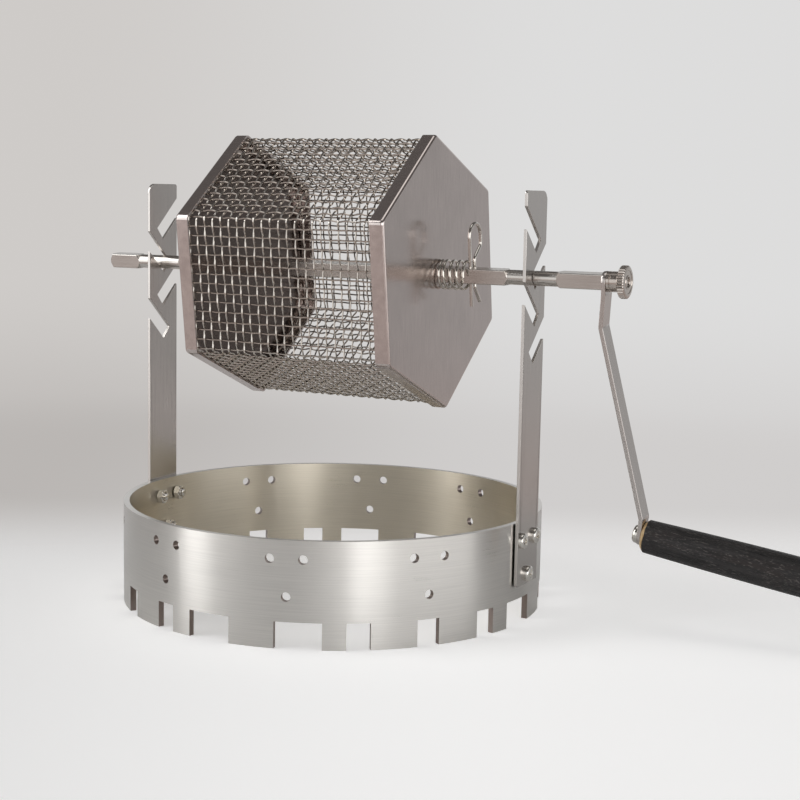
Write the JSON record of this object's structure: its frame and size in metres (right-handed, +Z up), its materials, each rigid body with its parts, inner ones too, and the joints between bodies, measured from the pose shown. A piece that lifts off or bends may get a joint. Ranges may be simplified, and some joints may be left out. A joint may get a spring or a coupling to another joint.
{
  "type": "stovetop coffee bean roaster",
  "caption": "Hand cranked coffee bean roaster: a six sided wire drum with a sliding lid turns on slotted posts over an open steel ring with a notched foot.",
  "frame": {"origin": "centre of the ring on the surface it stands on", "axes": "+X along the drum's shaft towards the crank, +Z up"},
  "size_m": [0.4144, 0.22, 0.2417],
  "materials": {
    "stand_steel": "brushed stainless sheet, fine grain along the strip",
    "drum_steel": "satin pressed stainless sheet",
    "wire_cloth": "plain woven bright wire",
    "bar_steel": "drawn bar, turned bright at the journals",
    "spring_wire": "bright drawn spring wire",
    "clip_wire": "bright plated wire",
    "fastener_steel": "bright stainless screws and nuts",
    "nut_steel": "turned, knurled rim",
    "handle_wood": "black stained open grain, pale bare wood at the chamfer",
    "insert_brass": "plain brass"
  },
  "bodies": {
    "stand": {"base_ring": "stand_steel", "post_right": "stand_steel", "post_left": "stand_steel", "post_screws_right": "fastener_steel", "post_screws_left": "fastener_steel", "post_nuts_right": "fastener_steel", "post_nuts_left": "fastener_steel"},
    "drum": {"shaft": "bar_steel", "drum_cap_fixed": "drum_steel", "mesh_panel_1": "wire_cloth", "mesh_panel_2": "wire_cloth", "mesh_panel_3": "wire_cloth", "mesh_panel_4": "wire_cloth", "mesh_panel_5": "wire_cloth", "mesh_panel_6": "wire_cloth", "lid_spring": "spring_wire", "crank_arm": "bar_steel"},
    "lid": {"drum_lid": "drum_steel"},
    "clip": {"r_clip": "clip_wire"},
    "thumb_nut": {"thumb_nut": "nut_steel"},
    "handle": {"handle_grip": "handle_wood", "handle_screw": "fastener_steel", "handle_insert": "insert_brass"}
  },
  "joints": [
    {"name": "drum_turn", "type": "hinge", "parent": "stand", "child": "drum", "pos_m": [0, 0, 0.1727], "axis": [1, 0, 0], "continuous": true},
    {"name": "lid_slide", "type": "slide", "parent": "drum", "child": "lid", "axis": [1, 0, 0], "range_m": [0, 0.006], "stiffness_N_per_m": 4000, "springref_m": -0.002, "deforming": ["lid_spring"]},
    {"name": "clip_pull", "type": "slide", "parent": "drum", "child": "clip", "axis": [0, -0.1323, 0.9912], "range_m": [0, 0.045]},
    {"name": "thumb_nut_turn", "type": "hinge", "parent": "drum", "child": "thumb_nut", "pos_m": [0.1494, 0, 0.1727], "axis": [1, 0, 0], "continuous": true},
    {"name": "handle_turn", "type": "hinge", "parent": "drum", "child": "handle", "pos_m": [0.1662, 0.01669, 0.04761], "axis": [0.989, 0.0195, -0.1465], "continuous": true}
  ]
}
